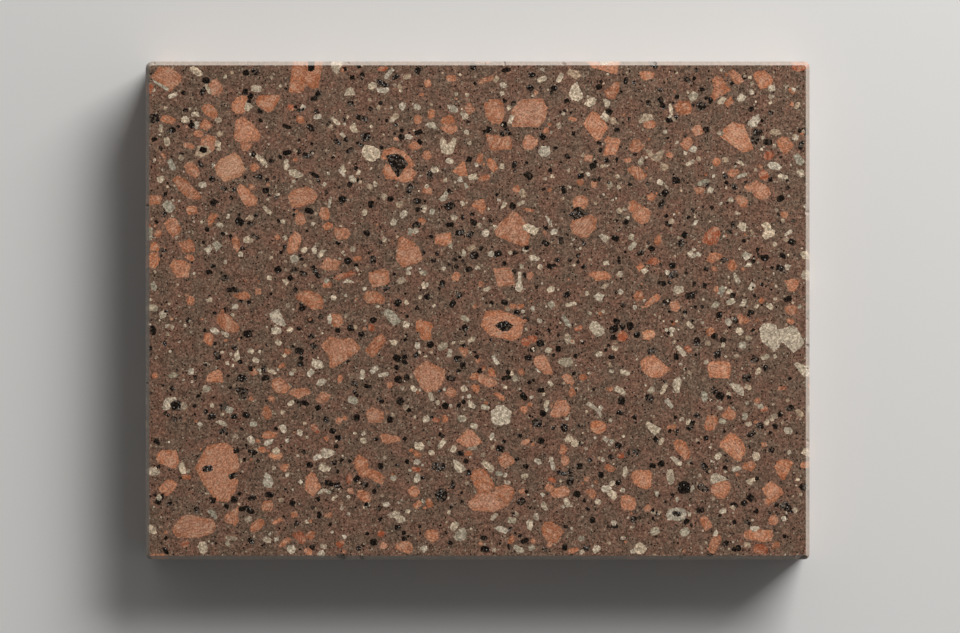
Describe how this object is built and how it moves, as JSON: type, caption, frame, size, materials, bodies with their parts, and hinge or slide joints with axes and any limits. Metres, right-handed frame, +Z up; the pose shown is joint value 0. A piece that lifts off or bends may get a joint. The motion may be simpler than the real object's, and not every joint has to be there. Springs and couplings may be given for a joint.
{
  "type": "rhyolite hand sample, a sawn and polished slab",
  "caption": "Rectangular sawn slab of porphyritic rhyolite, lying flat with its polished face up and a narrow ground bevel round that face.",
  "frame": {"origin": "middle of the sawn back face, on which the slab lies", "axes": "+X along the slab's length, to the right in the picture; +Y along its width, to the top of the picture; +Z up, out of the polished face"},
  "size_m": [0.2, 0.15, 0.02],
  "materials": {
    "rhyolite": "satin"
  },
  "bodies": {
    "root": {"slab": "rhyolite"}
  },
  "joints": []
}
